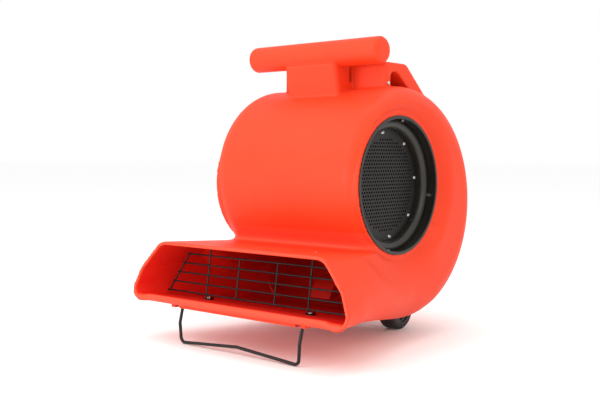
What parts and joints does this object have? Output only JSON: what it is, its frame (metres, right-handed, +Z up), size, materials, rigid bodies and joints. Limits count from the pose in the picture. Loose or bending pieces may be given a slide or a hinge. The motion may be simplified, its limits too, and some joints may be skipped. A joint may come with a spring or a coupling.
{
  "type": "air mover",
  "caption": "Centrifugal air mover with a moulded scroll case, low flared outlet, two side inlets, bar handle, rear wheels and a folding wire stand.",
  "frame": {"origin": "on the floor at the centre of the outline, with the wire stand down", "axes": "+X towards the side with the plain inlet, -Y out of the outlet, +Z up"},
  "size_m": [0.484, 0.4979, 0.5323],
  "materials": {
    "case": "semi-matt moulded polyethylene, orange red",
    "ring": "satin black moulding",
    "screen": "perforated sheet, black powder coat",
    "gasket": "matt",
    "screw": "zinc plated",
    "steel": "bright machined",
    "cast_metal": "die cast",
    "motor_paint": "dark grey enamel",
    "winding": "varnished copper and laminations",
    "fan_plastic": "moulded black nylon",
    "wire": "black coated wire",
    "tyre": "matt rubber",
    "black_plastic": "satin",
    "plate": "black texture coat",
    "button": "gloss",
    "can": "drawn can"
  },
  "bodies": {
    "machine": {"case_scroll": "case", "case_chute": "case", "console": "case", "handle_bar": "case", "stand_rail": "case", "console_screws": "screw", "inlet_ring_right": "ring", "inlet_ring_left": "ring", "screen_right": "screen", "screen_left": "screen", "screen_gasket": "gasket", "screen_screws_right": "screw", "screen_screws_left": "screw", "ring_screws_right": "screw", "ring_screws_left": "screw", "motor_spider": "cast_metal", "motor_bolts": "screw", "motor_can": "motor_paint", "motor_end_rear": "cast_metal", "motor_end_front": "cast_metal", "motor_stator": "winding", "motor_bearings": "steel", "outlet_grille": "wire", "grille_screws": "screw", "rail_screws": "screw", "axle": "steel", "axle_spacers": "black_plastic", "axle_caps": "black_plastic", "switch_plate": "plate", "plate_screws": "screw", "speed_switch": "black_plastic", "breaker_body": "black_plastic", "cord_gland": "black_plastic", "capacitor": "can", "capacitor_clip": "steel"},
    "rotor": {"motor_rotor": "steel", "motor_shaft": "steel", "fan_wheel": "fan_plastic", "fan_hub": "cast_metal", "hub_screw": "screw"},
    "stand": {"kickstand": "wire", "stand_pin": "wire"},
    "right_wheel": {"tyre_right": "tyre", "wheel_hub_right": "black_plastic"},
    "left_wheel": {"tyre_left": "tyre", "wheel_hub_left": "black_plastic"},
    "knob": {"speed_knob": "black_plastic"},
    "button": {"reset_button": "button"}
  },
  "joints": [
    {"name": "fan_spin", "type": "hinge", "parent": "machine", "child": "rotor", "pos_m": [0, 0.007, 0.278], "axis": [1, 0, 0], "continuous": true},
    {"name": "stand_fold", "type": "hinge", "parent": "machine", "child": "stand", "pos_m": [0, -0.223, 0.0683], "axis": [1, 0, 0], "range_deg": [0, 90]},
    {"name": "right_wheel_spin", "type": "hinge", "parent": "machine", "child": "right_wheel", "pos_m": [0.073, 0.1275, 0.038], "axis": [1, 0, 0], "continuous": true},
    {"name": "left_wheel_spin", "type": "hinge", "parent": "machine", "child": "left_wheel", "pos_m": [-0.073, 0.1275, 0.038], "axis": [1, 0, 0], "continuous": true},
    {"name": "knob_turn", "type": "hinge", "parent": "machine", "child": "knob", "pos_m": [0, 0.10472, 0.47424], "axis": [0, 0.6424, 0.7664], "range_deg": [0, 120]},
    {"name": "button_press", "type": "slide", "parent": "machine", "child": "button", "axis": [0, 0.6424, 0.7664], "range_m": [-0.002, 0], "stiffness_N_per_m": 400}
  ]
}
